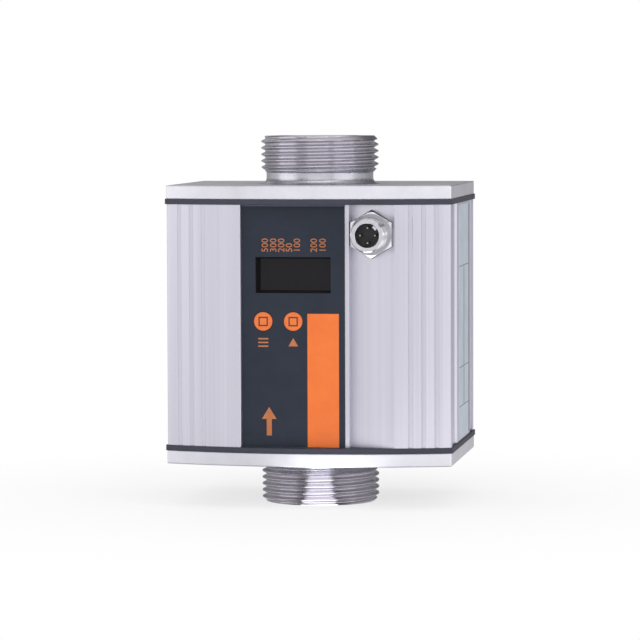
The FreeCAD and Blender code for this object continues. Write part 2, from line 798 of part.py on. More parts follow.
def connector():
    hex_front = foot_y - hex_thickness
    mouth = hex_front - barrel_length
    floor = mouth + socket_depth
    x, z = connector_x, connector_z
    profile = [
        (socket_radius, mouth),
        (barrel_radius - barrel_chamfer, mouth),
        (barrel_radius, mouth + barrel_chamfer),
        (barrel_radius, shell_tail_y),
        (socket_radius, shell_tail_y),
    ]
    shell = turned_y(profile, x, z)
    hexagon = hex_prism(x, z, hex_corner_radius, hex_front, foot_y)
    hexagon = hexagon.cut(rod_y(x, z, barrel_radius, hex_front, foot_y))
    slope = hex_thickness / hex_chamfer * (hex_corner_radius - hex_across_flats / 2)
    start = hex_across_flats / 2
    bevel = Part.makeCone(start, start + slope, hex_thickness, vector(x, hex_front, z), vector(0, 1, 0))
    shell = shell.fuse(hexagon.common(bevel))
    key = box(x + socket_radius - key_height, x + socket_radius + key_height, mouth + barrel_chamfer, floor,
              z - key_width / 2, z + key_width / 2)
    key.rotate(vector(x, 0, z), vector(0, 1, 0), -45)
    shell = shell.fuse(key)
    groove_inner = barrel_radius + socket_seal_gap
    groove_outer = groove_inner + socket_seal_width
    shell = shell.cut(ring_y(x, z, groove_outer + seal_slack, groove_inner - seal_slack,
                             foot_y - socket_seal_height, foot_y))
    save("connector_shell", shell.removeSplitter())
    seal_front = foot_y - socket_seal_height + seal_slack
    save("connector_seal", ring_y(x, z, groove_outer, groove_inner, seal_front, foot_y))
    insert = rod_y(x, z, socket_radius - seal_slack, floor, shell_tail_y)
    pins = []
    for pin_x, pin_z in pin_places():
        insert = insert.cut(rod_y(pin_x, pin_z, pin_radius + seal_slack, floor, shell_tail_y - pin_radius))
        shank = rod_y(pin_x, pin_z, pin_radius, floor - pin_length, shell_tail_y - pin_radius)
        pins.append(shank)
    save("connector_insert", insert)
    save("connector_pins", *pins)
    nut = hex_prism(x, z, nut_corner_radius, foot_inner_y, foot_inner_y + nut_thickness)
    nut = nut.cut(rod_y(x, z, barrel_radius + seal_slack, foot_inner_y, foot_inner_y + nut_thickness))
    save("connector_nut", nut)


def connector_cable():
    # Short cable from the socket's back to a header on the display board
    z = connector_z
    lean = math.sqrt(0.5)
    turn = vector(connector_x, cable_y - cable_bend, z)
    middle = vector(connector_x - cable_bend * (1 - lean), cable_y - cable_bend * (1 - lean), z)
    leave = vector(connector_x - cable_bend, cable_y, z)
    start = vector(connector_x, shell_tail_y, z)
    end = vector(header_right, cable_y, z)
    path = Part.Wire([
        Part.LineSegment(start, turn).toShape(),
        Part.Arc(turn, middle, leave).toShape(),
        Part.LineSegment(leave, end).toShape(),
    ])
    section = Part.Wire(Part.makeCircle(cable_radius, start, vector(0, 1, 0)))
    save("connector_cable", path.makePipeShell([section], True, True))
    half = cable_radius + header_margin
    save("cable_header", box(header_right - header_depth, header_right, board_back_y,
                             cable_y + cable_radius + cable_clearance, z - half, z + half))


def transducer(name, z):
    nose_end = bore_radius - nose_reach
    profile = [
        (0, nose_end),
        (nose_radius, nose_end),
        (nose_radius, pad_y),
        (transducer_flange_radius, pad_y),
        (transducer_flange_radius, flange_back_y),
        (can_radius, flange_back_y),
        (can_radius, can_back_y),
        (0, can_back_y),
    ]
    save(name + "_transducer", turned_y(profile, 0, z))
    clamp = box(-pad_half_width, pad_half_width, flange_back_y, clamp_back_y,
                z - pad_half_height, z + pad_half_height)
    clamp = clamp.cut(rod_y(0, z, can_radius + clamp_hole_clearance, flange_back_y, clamp_back_y))
    for x, screw_z in clamp_screw_places(z):
        hole = clamp_screw_radius + screw_clearance
        clamp = clamp.cut(rod_y(x, screw_z, hole, flange_back_y, clamp_back_y))
    save(name + "_transducer_clamp", clamp)


def reflector(name, z, lean):
    # Post through the pipe's front wall, with a mirror face at 45 degrees on the pipe's axis
    foot = reflector_sink - collar_radius
    reach = reflector_radius + reflector_sink
    near, far = -reach, reach
    outline = [
        vector(0, foot, z - reach),
        vector(0, near if lean > 0 else far, z - reach),
        vector(0, far if lean > 0 else near, z + reach),
        vector(0, foot, z + reach),
    ]
    wedge = Part.Face(Part.makePolygon(outline + outline[:1])).extrude(vector(2 * reach, 0, 0))
    wedge.translate(vector(-reach, 0, 0))
    save(name + "_reflector", rod_y(0, z, reflector_radius, foot, reach).common(wedge))


def sound_path():
    seals = []
    screws = []
    leads = []
    for name, z in transducer_heights.items():
        transducer(name, z)
        reflector(name, z, 1 if name == "upper" else -1)
        seal_front = pad_y - transducer_seal_height + seal_slack
        inner = nose_radius + seal_slack
        seals.append(ring_y(0, z, nose_radius + transducer_seal_width, inner, seal_front, pad_y))
        shank_end = pad_y - clamp_screw_depth + screw_clearance
        head_back = clamp_back_y + clamp_screw_head_height
        for x, screw_z in clamp_screw_places(z):
            shank = rod_y(x, screw_z, clamp_screw_radius, shank_end, clamp_back_y)
            head = rod_y(x, screw_z, clamp_screw_head_radius, clamp_back_y, head_back)
            screws.append(shank.fuse(head))
        for x in (-lead_half_spacing, lead_half_spacing):
            leads.append(rod_y(x, z, lead_radius, can_back_y, measuring_front_y))
    save("transducer_seals", *seals)
    save("transducer_clamp_screws", *screws)
    save("transducer_leads", *leads)


def temperature_probe():
    z = middle_z
    head_back = pad_y + probe_head_thickness
    tail_back = head_back + probe_tail_length
    probe = rod_y(0, z, probe_radius, bore_radius - probe_reach, pad_y)
    probe = probe.fuse(hex_prism(0, z, probe_head_radius, pad_y, head_back))
    probe = probe.fuse(rod_y(0, z, probe_tail_radius, head_back, tail_back))
    save("temperature_probe", probe)
    seal_front = pad_y - probe_seal_height + seal_slack
    seal = ring_y(0, z, probe_radius + probe_seal_width, probe_radius + seal_slack, seal_front, pad_y)
    save("temperature_seal", seal)
    save("temperature_lead", rod_y(0, z, probe_lead_radius, tail_back, measuring_front_y))


os.makedirs("parts", exist_ok=True)
housing()
end_cap("bottom_end_cap", cap0, gasket0, cap0, 1)
end_cap("top_end_cap", gasket1, cap1, cap1, -1)
gasket("bottom_gasket", gasket0, housing0)
gasket("top_gasket", housing1, gasket1)
screw_set("bottom_cap_screws", cap0, 1)
screw_set("top_cap_screws", cap1, -1)
measuring_pipe()
pipe_seals()
sound_path()
temperature_probe()
display_bezel()
display()
front_label()
side_label()
for button_name, button_x in button_places.items():
    button(button_name, button_x)
boards()
ribbon()
connector()
connector_cable()
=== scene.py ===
import math
import bmesh
import bpy
from mathutils import Matrix, Vector


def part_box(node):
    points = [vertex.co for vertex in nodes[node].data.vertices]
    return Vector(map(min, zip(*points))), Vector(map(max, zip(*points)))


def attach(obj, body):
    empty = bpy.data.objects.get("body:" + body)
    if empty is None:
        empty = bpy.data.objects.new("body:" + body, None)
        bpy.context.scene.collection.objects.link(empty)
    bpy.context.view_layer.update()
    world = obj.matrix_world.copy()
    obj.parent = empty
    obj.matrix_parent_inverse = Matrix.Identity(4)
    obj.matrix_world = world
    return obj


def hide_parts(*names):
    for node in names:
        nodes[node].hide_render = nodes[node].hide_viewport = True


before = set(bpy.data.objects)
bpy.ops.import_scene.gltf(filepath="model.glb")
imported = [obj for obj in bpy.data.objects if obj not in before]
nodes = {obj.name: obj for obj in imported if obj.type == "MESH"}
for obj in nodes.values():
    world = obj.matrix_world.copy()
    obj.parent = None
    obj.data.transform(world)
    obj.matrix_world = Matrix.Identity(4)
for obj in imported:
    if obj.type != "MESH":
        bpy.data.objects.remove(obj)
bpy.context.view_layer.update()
scene = bpy.context.scene
scene.view_settings.view_transform = "Standard"
mm = 0.001  # pieces are sized in millimetres, the studio and the camera's place in metres
print("frame loaded:", len(nodes), "nodes")


def linear(colour):
    # sRGB hex to the linear colour that a shader takes
    parts = [int(colour[i:i + 2], 16) / 255 for i in (1, 3, 5)]
    return tuple(c / 12.92 if c <= 0.04045 else ((c + 0.055) / 1.055) ** 2.4 for c in parts) + (1.0,)


def add(tree, kind, inputs, **settings):
    # one node with its settings; a socket given as an input is linked, any other value is set
    node = tree.nodes.new(kind)
    for name, value in settings.items():
        setattr(node, name, value)
    for key, value in inputs.items():
        if isinstance(value, bpy.types.NodeSocket):
            tree.links.new(value, node.inputs[key])
        else:
            node.inputs[key].default_value = value
    return node


# camera, at the photograph's place and lens
view = {
    "place": (0.192689, -1.275739, 0.142986), "azimuth": 8.596, "elevation": 3.48, "roll": -0.179,
    "lens": 203.32, "sensor": 36, "clipEnd": 100,
}


def placeCamera():
    azimuth, elevation, roll = (math.radians(view[key]) for key in ("azimuth", "elevation", "roll"))
    level = math.cos(elevation)
    back = Vector((math.sin(azimuth) * level, -math.cos(azimuth) * level, math.sin(elevation)))
    right = Vector((math.cos(azimuth), math.sin(azimuth), 0))
    up = back.cross(right)
    rightTurned = right * math.cos(roll) + up * math.sin(roll)
    upTurned = up * math.cos(roll) - right * math.sin(roll)
    data = bpy.data.cameras.new("productCamera")
    data.lens = view["lens"]
    data.sensor_width = view["sensor"]
    data.clip_end = view["clipEnd"]
    camera = bpy.data.objects.new("productCamera", data)
    turn = Matrix((rightTurned, upTurned, back)).transposed().to_4x4()
    camera.matrix_world = Matrix.Translation(view["place"]) @ turn
    scene.collection.objects.link(camera)
    scene.camera = camera


placeCamera()
print("camera placed")

# studio: white paper floor, pale surroundings and soft lamps
studio = {
    "floorColour": "#F2F2F2", "floorHalf": 6.0,
    "shadowReach": (0.06, 0.22), "shadowShare": 0.3,  # reach from the pipe's axis, share that is kept
    "fill": 0.85,  # what dull surfaces get from all round
    "sky": 0.34, "skyFrom": 0.03, "skyTo": 0.2,  # heights here are sines of the elevation
    "ceiling": 0.48, "ceilingFrom": 0.58, "ceilingTo": 0.9,
    "back": 0.44, "backFrom": 0.0, "backTo": 0.97,
    # painted glow on the floor paper, seen only in metal: a bright fan in front, darker gaps beside it, a
    # pool towards the right
    "fanTurn": 6.9, "fanEdge": (17.7, 20.8), "fanReach": (0.07, 0.15), "fan": 2.8,  # edges are in degrees
    "gap": 0.2, "gapEdge": (27, 39), "beside": 0.5,
    "pool": 1.5, "poolEdge": (0, 22), "poolReach": (0.2, 0.4),
    "aim": (0, 0, 0.065),  # where the lamps point
}
softboxes = {
    # azimuth from the front towards the right, elevation, distance, width, height, radiance of the cloth
    "front": (3.5, 18, 1.5, 1.25, 0.8, 0.68),
    "left": (-66, 14, 1.6, 1.3, 0.9, 1.0),
    "right": (62, 14, 1.6, 1.4, 0.9, 0.84),
    "top": (0, 62, 1.5, 0.9, 0.8, 0.8),
    "corner": (42, 46, 1.6, 0.8, 0.6, 0.9),
    "back": (-150, 26, 1.8, 1.0, 0.8, 0.35),
}


def buildFloor():
    mesh = bpy.data.meshes.new("paperFloor")
    half = studio["floorHalf"]
    corners = [(-half, -half, 0), (half, -half, 0), (half, half, 0), (-half, half, 0)]
    mesh.from_pydata(corners, [], [(0, 1, 2, 3)])
    floor = bpy.data.objects.new("paperFloor", mesh)
    scene.collection.objects.link(floor)
    material = bpy.data.materials.new("whitePaper")
    material.use_nodes = True
    tree = material.node_tree
    tree.nodes.clear()
    path = add(tree, "ShaderNodeLightPath", {})
    mirrored = add(tree, "ShaderNodeMath", {0: path.outputs["Is Glossy Ray"],
                                            1: path.outputs["Is Transmission Ray"]}, operation="MAXIMUM")
    place = add(tree, "ShaderNodeTexCoord", {})
    # painted light on the paper, which only metal sees: its glow is dimmer behind the object, as in a room
    # lit from the front
    bearing = add(tree, "ShaderNodeVectorMath", {0: place.outputs["Object"]}, operation="NORMALIZE")
    split = add(tree, "ShaderNodeSeparateXYZ", {0: bearing.outputs[0]})
    dim = add(tree, "ShaderNodeMapRange", {"Value": split.outputs["Y"], "From Min": studio["backFrom"],
                                           "From Max": studio["backTo"], "To Min": 1.0,
                                           "To Max": studio["back"]}, interpolation_type="SMOOTHSTEP")
    # and close by, a painted fan of bright glow where the front lamp would light the paper, with painted
    # darker paper along its edges
    turn = math.radians(studio["fanTurn"])
    forward = (math.sin(turn), -math.cos(turn), 0)
    sideways = (math.cos(turn), math.sin(turn), 0)
    ahead = add(tree, "ShaderNodeVectorMath", {0: bearing.outputs[0], 1: forward}, operation="DOT_PRODUCT")
    beside = add(tree, "ShaderNodeVectorMath", {0: bearing.outputs[0], 1: sideways}, operation="DOT_PRODUCT")
    fanInner, fanOuter = (math.cos(math.radians(angle)) for angle in studio["fanEdge"])
    gapInner, gapOuter = (math.cos(math.radians(angle)) for angle in studio["gapEdge"])
    poolInner, poolOuter = (math.sin(math.radians(angle)) for angle in studio["poolEdge"])
    fanNear, fanFar = studio["fanReach"]
    poolNear, poolFar = studio["poolReach"]
    shadowNear, shadowFar = studio["shadowReach"]
    fan = add(tree, "ShaderNodeMapRange", {"Value": ahead.outputs["Value"], "From Min": fanOuter,
                                           "From Max": fanInner, "To Min": studio["gap"],
                                           "To Max": studio["fan"]}, interpolation_type="SMOOTHSTEP")
    wing = add(tree, "ShaderNodeMapRange", {"Value": ahead.outputs["Value"], "From Min": gapOuter,
                                            "From Max": gapInner, "To Min": studio["beside"] - studio["gap"],
                                            "To Max": 0.0}, interpolation_type="SMOOTHSTEP")
    fan = add(tree, "ShaderNodeMath", {0: fan.outputs[0], 1: wing.outputs[0]}, operation="ADD")
    far = add(tree, "ShaderNodeVectorMath", {0: place.outputs["Object"]}, operation="LENGTH")
    clear = add(tree, "ShaderNodeMapRange", {"Value": far.outputs["Value"], "From Min": fanNear,
                                             "From Max": fanFar}, interpolation_type="SMOOTHSTEP")
    # past the fan, a painted pool: the paper glows brighter towards the right lamp
    faded = add(tree, "ShaderNodeMapRange", {"Value": far.outputs["Value"], "From Min": poolNear,
                                             "From Max": poolFar, "To Min": studio["pool"],
                                             "To Max": 1.0}, interpolation_type="SMOOTHSTEP")
    pool = add(tree, "ShaderNodeMapRange", {"Value": beside.outputs["Value"], "From Min": poolInner,
                                            "From Max": poolOuter, "To Min": 1.0,
                                            "To Max": faded.outputs[0]}, interpolation_type="SMOOTHSTEP")
    fan = add(tree, "ShaderNodeMix", {0: clear.outputs[0], 2: fan.outputs[0], 3: pool.outputs[0]})
    dim = add(tree, "ShaderNodeMath", {0: dim.outputs[0], 1: fan.outputs[0]}, operation="MULTIPLY")
    strength = add(tree, "ShaderNodeMix", {0: mirrored.outputs[0], 2: 1.0, 3: dim.outputs[0]})
    # the camera sees white paper with a share of the real shadow, metal sees the painted glow worked out
    # above
    white = add(tree, "ShaderNodeMapRange", {"Value": far.outputs["Value"], "From Min": shadowNear,
                                             "From Max": shadowFar, "To Min": 1 - studio["shadowShare"],
                                             "To Max": 1.0}, interpolation_type="SMOOTHSTEP")
    share = add(tree, "ShaderNodeMath", {0: path.outputs["Is Camera Ray"], 1: white.outputs[0]},
                operation="MULTIPLY")
    share = add(tree, "ShaderNodeMath", {0: share.outputs[0], 1: mirrored.outputs[0]}, operation="MAXIMUM")
    paper = add(tree, "ShaderNodeBsdfDiffuse", {"Color": linear(studio["floorColour"])})
    glow = add(tree, "ShaderNodeEmission", {"Color": (1, 1, 1, 1), "Strength": strength.outputs[0]})
    mixed = add(tree, "ShaderNodeMixShader", {0: share.outputs[0], 1: paper.outputs[0], 2: glow.outputs[0]})
    add(tree, "ShaderNodeOutputMaterial", {"Surface": mixed.outputs[0]})
    mesh.materials.append(material)


def buildWorld():
    world = bpy.data.worlds.new("whiteStudio")
    scene.world = world
    world.use_nodes = True
    tree = world.node_tree
    tree.nodes.clear()
    path = add(tree, "ShaderNodeLightPath", {})
    place = add(tree, "ShaderNodeTexCoord", {})
    split = add(tree, "ShaderNodeSeparateXYZ", {0: place.outputs["Generated"]})
    # pale at the horizon, dimmer above it and behind, so that level faces and sides don't wash out
    sky = add(tree, "ShaderNodeMapRange", {"Value": split.outputs["Z"], "From Min": studio["skyFrom"],
                                           "From Max": studio["skyTo"], "To Min": 1.0,
                                           "To Max": studio["sky"]}, interpolation_type="SMOOTHSTEP")
    # and a pale ceiling, which the end plates show when seen from above
    ceiling = add(tree, "ShaderNodeMapRange", {"Value": split.outputs["Z"], "From Min": studio["ceilingFrom"],
                                               "From Max": studio["ceilingTo"], "To Min": 0.0,
                                               "To Max": studio["ceiling"]}, interpolation_type="SMOOTHSTEP")
    sky = add(tree, "ShaderNodeMath", {0: sky.outputs[0], 1: ceiling.outputs[0]}, operation="ADD")
    dim = add(tree, "ShaderNodeMapRange", {"Value": split.outputs["Y"], "From Min": studio["backFrom"],
                                           "From Max": studio["backTo"], "To Min": 1.0,
                                           "To Max": studio["back"]}, interpolation_type="SMOOTHSTEP")
    sky = add(tree, "ShaderNodeMath", {0: sky.outputs[0], 1: dim.outputs[0]}, operation="MULTIPLY")
    mirrored = add(tree, "ShaderNodeMath", {0: path.outputs["Is Glossy Ray"],
                                            1: path.outputs["Is Transmission Ray"]}, operation="MAXIMUM")
    level = add(tree, "ShaderNodeMix", {0: mirrored.outputs[0], 2: studio["fill"], 3: sky.outputs[0]})
    level = add(tree, "ShaderNodeMix", {0: path.outputs["Is Camera Ray"], 2: level.outputs[0], 3: 1.0})
    ground = add(tree, "ShaderNodeBackground", {"Color": (1, 1, 1, 1), "Strength": level.outputs[0]})
    add(tree, "ShaderNodeOutputWorld", {"Surface": ground.outputs[0]})


def hangSoftbox(name, azimuth, elevation, distance, width, height, radiance):
    data = bpy.data.lights.new(name + "Softbox", "AREA")
    data.shape = "RECTANGLE"
    data.size = width
    data.size_y = height
    data.energy = radiance * math.pi * width * height
    lamp = bpy.data.objects.new(name + "Softbox", data)
    a, e = math.radians(azimuth), math.radians(elevation)
    towards = Vector((math.sin(a) * math.cos(e), -math.cos(a) * math.cos(e), math.sin(e)))
    turn = towards.to_track_quat("Z", "Y").to_matrix().to_4x4()
    lamp.matrix_world = Matrix.Translation(Vector(studio["aim"]) + towards * distance) @ turn
    lamp.visible_camera = False
    scene.collection.objects.link(lamp)


buildFloor()
buildWorld()
for boxName, setting in softboxes.items():
    hangSoftbox(boxName, *setting)
print("studio lit")

# noise that all surfaces share: its fineness, and the part of its range that is used
pattern = {"cloudDetail": 4.0, "cloudRoughness": 0.6, "cloudRange": (0.3, 0.7), "grainDetail": 3.0,
           "edgeSamples": 6}


def surface(name, look):
    # two tones clouded together, roughness that wanders with them, and a fine grain in relief
    material = bpy.data.materials.new(name)
    material.use_nodes = True
    tree = material.node_tree
    shader = tree.nodes["Principled BSDF"]
    place = add(tree, "ShaderNodeTexCoord", {})
    stretched = add(tree, "ShaderNodeMapping", {"Vector": place.outputs["Object"],
                                                "Scale": look.get("stretch", (1, 1, 1))})
    cloud = add(tree, "ShaderNodeTexNoise", {"Vector": stretched.outputs[0],
                                             "Scale": 1 / (look["cloudMm"] * mm),
                                             "Detail": pattern["cloudDetail"],
                                             "Roughness": pattern["cloudRoughness"]})
    low, high = pattern["cloudRange"]
    smooth, dull = look["rough"]
    tone = add(tree, "ShaderNodeMapRange", {"Value": cloud.outputs[0], "From Min": low, "From Max": high})
    colour = add(tree, "ShaderNodeMix", {0: tone.outputs[0], 6: linear(look["dark"]),
                                         7: linear(look["light"])}, data_type="RGBA")
    rough = add(tree, "ShaderNodeMapRange", {"Value": cloud.outputs[0], "From Min": low, "From Max": high,
                                             "To Min": smooth, "To Max": dull})
    grain = add(tree, "ShaderNodeTexNoise", {"Vector": stretched.outputs[0],
                                             "Scale": 1 / (look["grainMm"] * mm),
                                             "Detail": pattern["grainDetail"]})
    inputs = {"Height": grain.outputs[0], "Strength": 1.0, "Distance": look["grainDepthMm"] * mm}
    if "edgeMm" in look:
        edge = add(tree, "ShaderNodeBevel", {"Radius": look["edgeMm"] * mm}, samples=pattern["edgeSamples"])
        inputs["Normal"] = edge.outputs[0]
    relief = add(tree, "ShaderNodeBump", inputs)
    tree.links.new(colour.outputs[2], shader.inputs["Base Color"])
    tree.links.new(rough.outputs[0], shader.inputs["Roughness"])
    tree.links.new(relief.outputs[0], shader.inputs["Normal"])
    if "lines" in look:
        tangent = add(tree, "ShaderNodeTangent", {}, direction_type="RADIAL", axis="Z")
        tree.links.new(tangent.outputs[0], shader.inputs["Tangent"])
        shader.inputs["Anisotropic"].default_value = look["lines"]
        shader.inputs["Anisotropic Rotation"].default_value = look.get("linesTurn", 0.0)
    for socket, value in look.get("sockets", {}).items():
        shader.inputs[socket].default_value = value
    return material


finishes = {
    # anodised aluminium as it leaves the die: a cool satin grey with upright lines, wider than real to show
    "extrudedAnodisedAluminium": {
        "light": "#D6D4DF", "dark": "#C8C6D2", "cloudMm": 2.2, "stretch": (1, 1, 0.006),
        "rough": (0.34, 0.44), "grainMm": 0.5, "grainDepthMm": 0.004, "edgeMm": 0.2, "lines": 0.6,
        "sockets": {"Metallic": 1.0}},
    # anodised aluminium, bead-blasted first: an even bright satin, the grit drawn coarser so that it shows
    "blastedAnodisedAluminium": {
        "light": "#ECEBF3", "dark": "#E0DFE8", "cloudMm": 9, "rough": (0.4, 0.48),
        "grainMm": 0.35, "grainDepthMm": 0.006, "edgeMm": 0.5, "sockets": {"Metallic": 1.0}},
    # moulded EPDM rubber: a dull slate with a faint bloom
    "mouldedEpdmRubber": {
        "light": "#383A49", "dark": "#303240", "cloudMm": 5, "rough": (0.55, 0.7),
        "grainMm": 0.3, "grainDepthMm": 0.01, "edgeMm": 0.3},
    # moulded nitrile rubber: black and slightly shiny where it is squeezed
    "mouldedNitrileRubber": {
        "light": "#242427", "dark": "#17171A", "cloudMm": 3, "rough": (0.4, 0.55),
        "grainMm": 0.25, "grainDepthMm": 0.008},
    # polyester film printed from behind: dark slate under a fine matt texture
    "printedPolyesterFilm": {
        "light": "#272E3C", "dark": "#222835", "cloudMm": 8, "rough": (0.4, 0.5),
        "grainMm": 0.3, "grainDepthMm": 0.004, "sockets": {"IOR": 1.5, "Specular IOR Level": 0.25}},
    # silvered polyester film: pale blue-grey and satin
    "silveredPolyesterFilm": {
        "light": "#D6DEEA", "dark": "#C9D1DE", "cloudMm": 10, "rough": (0.42, 0.52),
        "grainMm": 0.4, "grainDepthMm": 0.003, "sockets": {"Metallic": 0.6}},
    # screen-printed inks: flat colour, a touch drier than the film
    "printedOrangeInk": {
        "light": "#ED772B", "dark": "#E66D25", "cloudMm": 6, "rough": (0.45, 0.55),
        "grainMm": 0.3, "grainDepthMm": 0.003},
    "printedOchreInk": {
        "light": "#C07343", "dark": "#B0663A", "cloudMm": 3, "rough": (0.5, 0.6),
        "grainMm": 0.2, "grainDepthMm": 0.002},
    "printedMaroonInk": {
        "light": "#662A1A", "dark": "#5A2214", "cloudMm": 2, "rough": (0.5, 0.6),
        "grainMm": 0.2, "grainDepthMm": 0.002},
    # not an ink: painted light and shade, a slate tone for the edge seen between the label and the gasket
    "paintedEdgeSlate": {
        "light": "#565E70", "dark": "#4E5668", "cloudMm": 4, "rough": (0.45, 0.55),
        "grainMm": 0.3, "grainDepthMm": 0.003},
    "printedGreyInk": {
        "light": "#848B94", "dark": "#7A818A", "cloudMm": 2, "rough": (0.5, 0.6),
        "grainMm": 0.2, "grainDepthMm": 0.002},
    # ABS moulded in an eroded tool: dark, finely pitted
    "mouldedDarkAbs": {
        "light": "#18191E", "dark": "#121318", "cloudMm": 4, "rough": (0.45, 0.6),
        "grainMm": 0.25, "grainDepthMm": 0.006, "edgeMm": 0.15},
    # ABS moulded in a finer tool: orange, with a soft highlight round the key's rim
    "mouldedOrangeAbs": {
        "light": "#E87731", "dark": "#E06D29", "cloudMm": 3, "rough": (0.38, 0.48),
        "grainMm": 0.25, "grainDepthMm": 0.005, "edgeMm": 0.25},
    # cast acrylic, smoked: a polished dark pane
    "castSmokedAcrylic": {
        "light": "#1A161D", "dark": "#151218", "cloudMm": 12, "rough": (0.06, 0.1),
        "grainMm": 2.0, "grainDepthMm": 0.0004, "sockets": {"IOR": 1.49, "Specular IOR Level": 0.22}},
    # stainless steel off the lathe: fine rings round the axis, stretched highlights along it
    "turnedStainlessSteel": {
        "light": "#D1CED6", "dark": "#C0BDC5", "cloudMm": 1.2, "stretch": (0.02, 0.02, 1),
        "rough": (0.14, 0.24), "grainMm": 0.2, "grainDepthMm": 0.002, "lines": 0.35, "linesTurn": 0.25,
        "sockets": {"Metallic": 1.0}},
    # stainless steel tube as drawn: duller and greyer than where the lathe has cut
    "drawnStainlessSteel": {
        "light": "#C6C5CD", "dark": "#BAB9C1", "cloudMm": 1.5, "stretch": (1, 1, 0.1), "rough": (0.24, 0.34),
        "grainMm": 0.3, "grainDepthMm": 0.002, "sockets": {"Metallic": 1.0}},
    # stainless steel, cold-headed and tumbled: small bright fasteners
    "tumbledStainlessSteel": {
        "light": "#CCCAD4", "dark": "#B9B7C1", "cloudMm": 2, "rough": (0.26, 0.4),
        "grainMm": 0.3, "grainDepthMm": 0.004, "edgeMm": 0.1, "sockets": {"Metallic": 1.0}},
    # brass, blasted and nickel-plated, duller than the barrel; its darker colour is painted shade, for the
    # dark reflections in the ring round the bright barrel
    "blastedNickelAndPaintedShade": {
        "light": "#A9A8AE", "dark": "#9C9BA1", "cloudMm": 2, "rough": (0.2, 0.3),
        "grainMm": 0.3, "grainDepthMm": 0.002, "sockets": {"Metallic": 1.0}},
    # brass, turned and nickel-plated: white metal, nearly a mirror
    "nickelPlatedBrass": {
        "light": "#D2D0D7", "dark": "#C4C2CA", "cloudMm": 2, "rough": (0.08, 0.14),
        "grainMm": 0.3, "grainDepthMm": 0.001, "edgeMm": 0.28, "sockets": {"Metallic": 1.0}},
    # brass, turned and left bare: warm yellow with a soft shine
    "turnedBrass": {
        "light": "#DDBB70", "dark": "#C9A55A", "cloudMm": 2, "rough": (0.24, 0.36),
        "grainMm": 0.25, "grainDepthMm": 0.003, "sockets": {"Metallic": 1.0}},
    # brass, plated with thin gold: pale contacts, a small glint at each tip
    "goldPlatedBrass": {
        "light": "#ABA391", "dark": "#958D7B", "cloudMm": 1, "rough": (0.12, 0.22),
        "grainMm": 0.2, "grainDepthMm": 0.001, "sockets": {"Metallic": 1.0}},
    # polyamide, moulded: black with a slight gloss
    "mouldedBlackPolyamide": {
        "light": "#22242E", "dark": "#1A1C25", "cloudMm": 2, "rough": (0.35, 0.5),
        "grainMm": 0.2, "grainDepthMm": 0.006},
    # epoxy moulding compound: charcoal, dusty from the mould
    "mouldedEpoxy": {
        "light": "#2B2B2D", "dark": "#202022", "cloudMm": 1.5, "rough": (0.5, 0.65),
        "grainMm": 0.2, "grainDepthMm": 0.008},
    # soft PVC, extruded over wire: grey with a waxy sheen
    "extrudedPvc": {
        "light": "#8D8D92", "dark": "#7C7C82", "cloudMm": 4, "rough": (0.4, 0.52),
        "grainMm": 0.4, "grainDepthMm": 0.005},
    # cast red epoxy: the clear lens of a light that is off
    "castRedEpoxy": {
        "light": "#B03A2C", "dark": "#97281C", "cloudMm": 0.8, "rough": (0.1, 0.2),
        "grainMm": 0.2, "grainDepthMm": 0.001, "sockets": {"IOR": 1.52, "Coat Weight": 0.4}},
    # glass-fibre laminate under solder mask: green, with the weave just showing
    "maskedLaminate": {
        "light": "#2C7A4C", "dark": "#1C5F39", "cloudMm": 1.2, "stretch": (1, 1, 0.3), "rough": (0.3, 0.42),
        "grainMm": 0.5, "grainDepthMm": 0.006},
}
materials = {name: surface(name, look) for name, look in finishes.items()}
print("materials made:", len(materials))

nodeFinish = {
    "extrudedAnodisedAluminium": ["housing"],
    "blastedAnodisedAluminium": ["top_end_cap", "bottom_end_cap"],
    "mouldedEpdmRubber": ["top_gasket", "bottom_gasket"],
    "mouldedNitrileRubber": ["upper_pipe_seal", "lower_pipe_seal", "transducer_seals", "temperature_seal",
                             "connector_seal"],
    "printedPolyesterFilm": ["front_label"],
    "silveredPolyesterFilm": ["side_label"],
    "mouldedDarkAbs": ["display_bezel", "display_module"],
    "mouldedOrangeAbs": ["mode_button", "set_button"],
    "castSmokedAcrylic": ["display_window"],
    "castRedEpoxy": ["indicator_leds"],
    "turnedStainlessSteel": ["measuring_pipe", "upper_reflector", "lower_reflector", "upper_transducer",
                             "lower_transducer", "temperature_probe"],
    "tumbledStainlessSteel": ["top_cap_screws", "bottom_cap_screws", "upper_transducer_clamp",
                              "lower_transducer_clamp", "transducer_clamp_screws", "measuring_board_screws",
                              "display_board_screws"],
    "nickelPlatedBrass": ["connector_shell"],
    "turnedBrass": ["connector_nut", "measuring_board_standoffs", "display_board_standoffs"],
    "goldPlatedBrass": ["connector_pins"],
    "mouldedBlackPolyamide": ["connector_insert", "mode_switch", "set_switch", "mode_switch_plunger",
                              "set_switch_plunger", "ribbon_headers", "cable_header"],
    "mouldedEpoxy": ["measuring_chips"],
    "extrudedPvc": ["ribbon_cable", "transducer_leads", "temperature_lead", "connector_cable"],
    "maskedLaminate": ["measuring_board", "display_board"],
}
dressed = set()
for finish, names in nodeFinish.items():
    for name in names:
        for slot in nodes[name].material_slots:
            slot.material = materials[finish]
        dressed.add(name)
print("nodes dressed:", len(dressed), "left plain:", sorted(set(nodes) - dressed))

# how close points have to be to count as one, in metres
joins = {"weld": 1e-6, "seam": 2e-6, "cut": 1e-7}


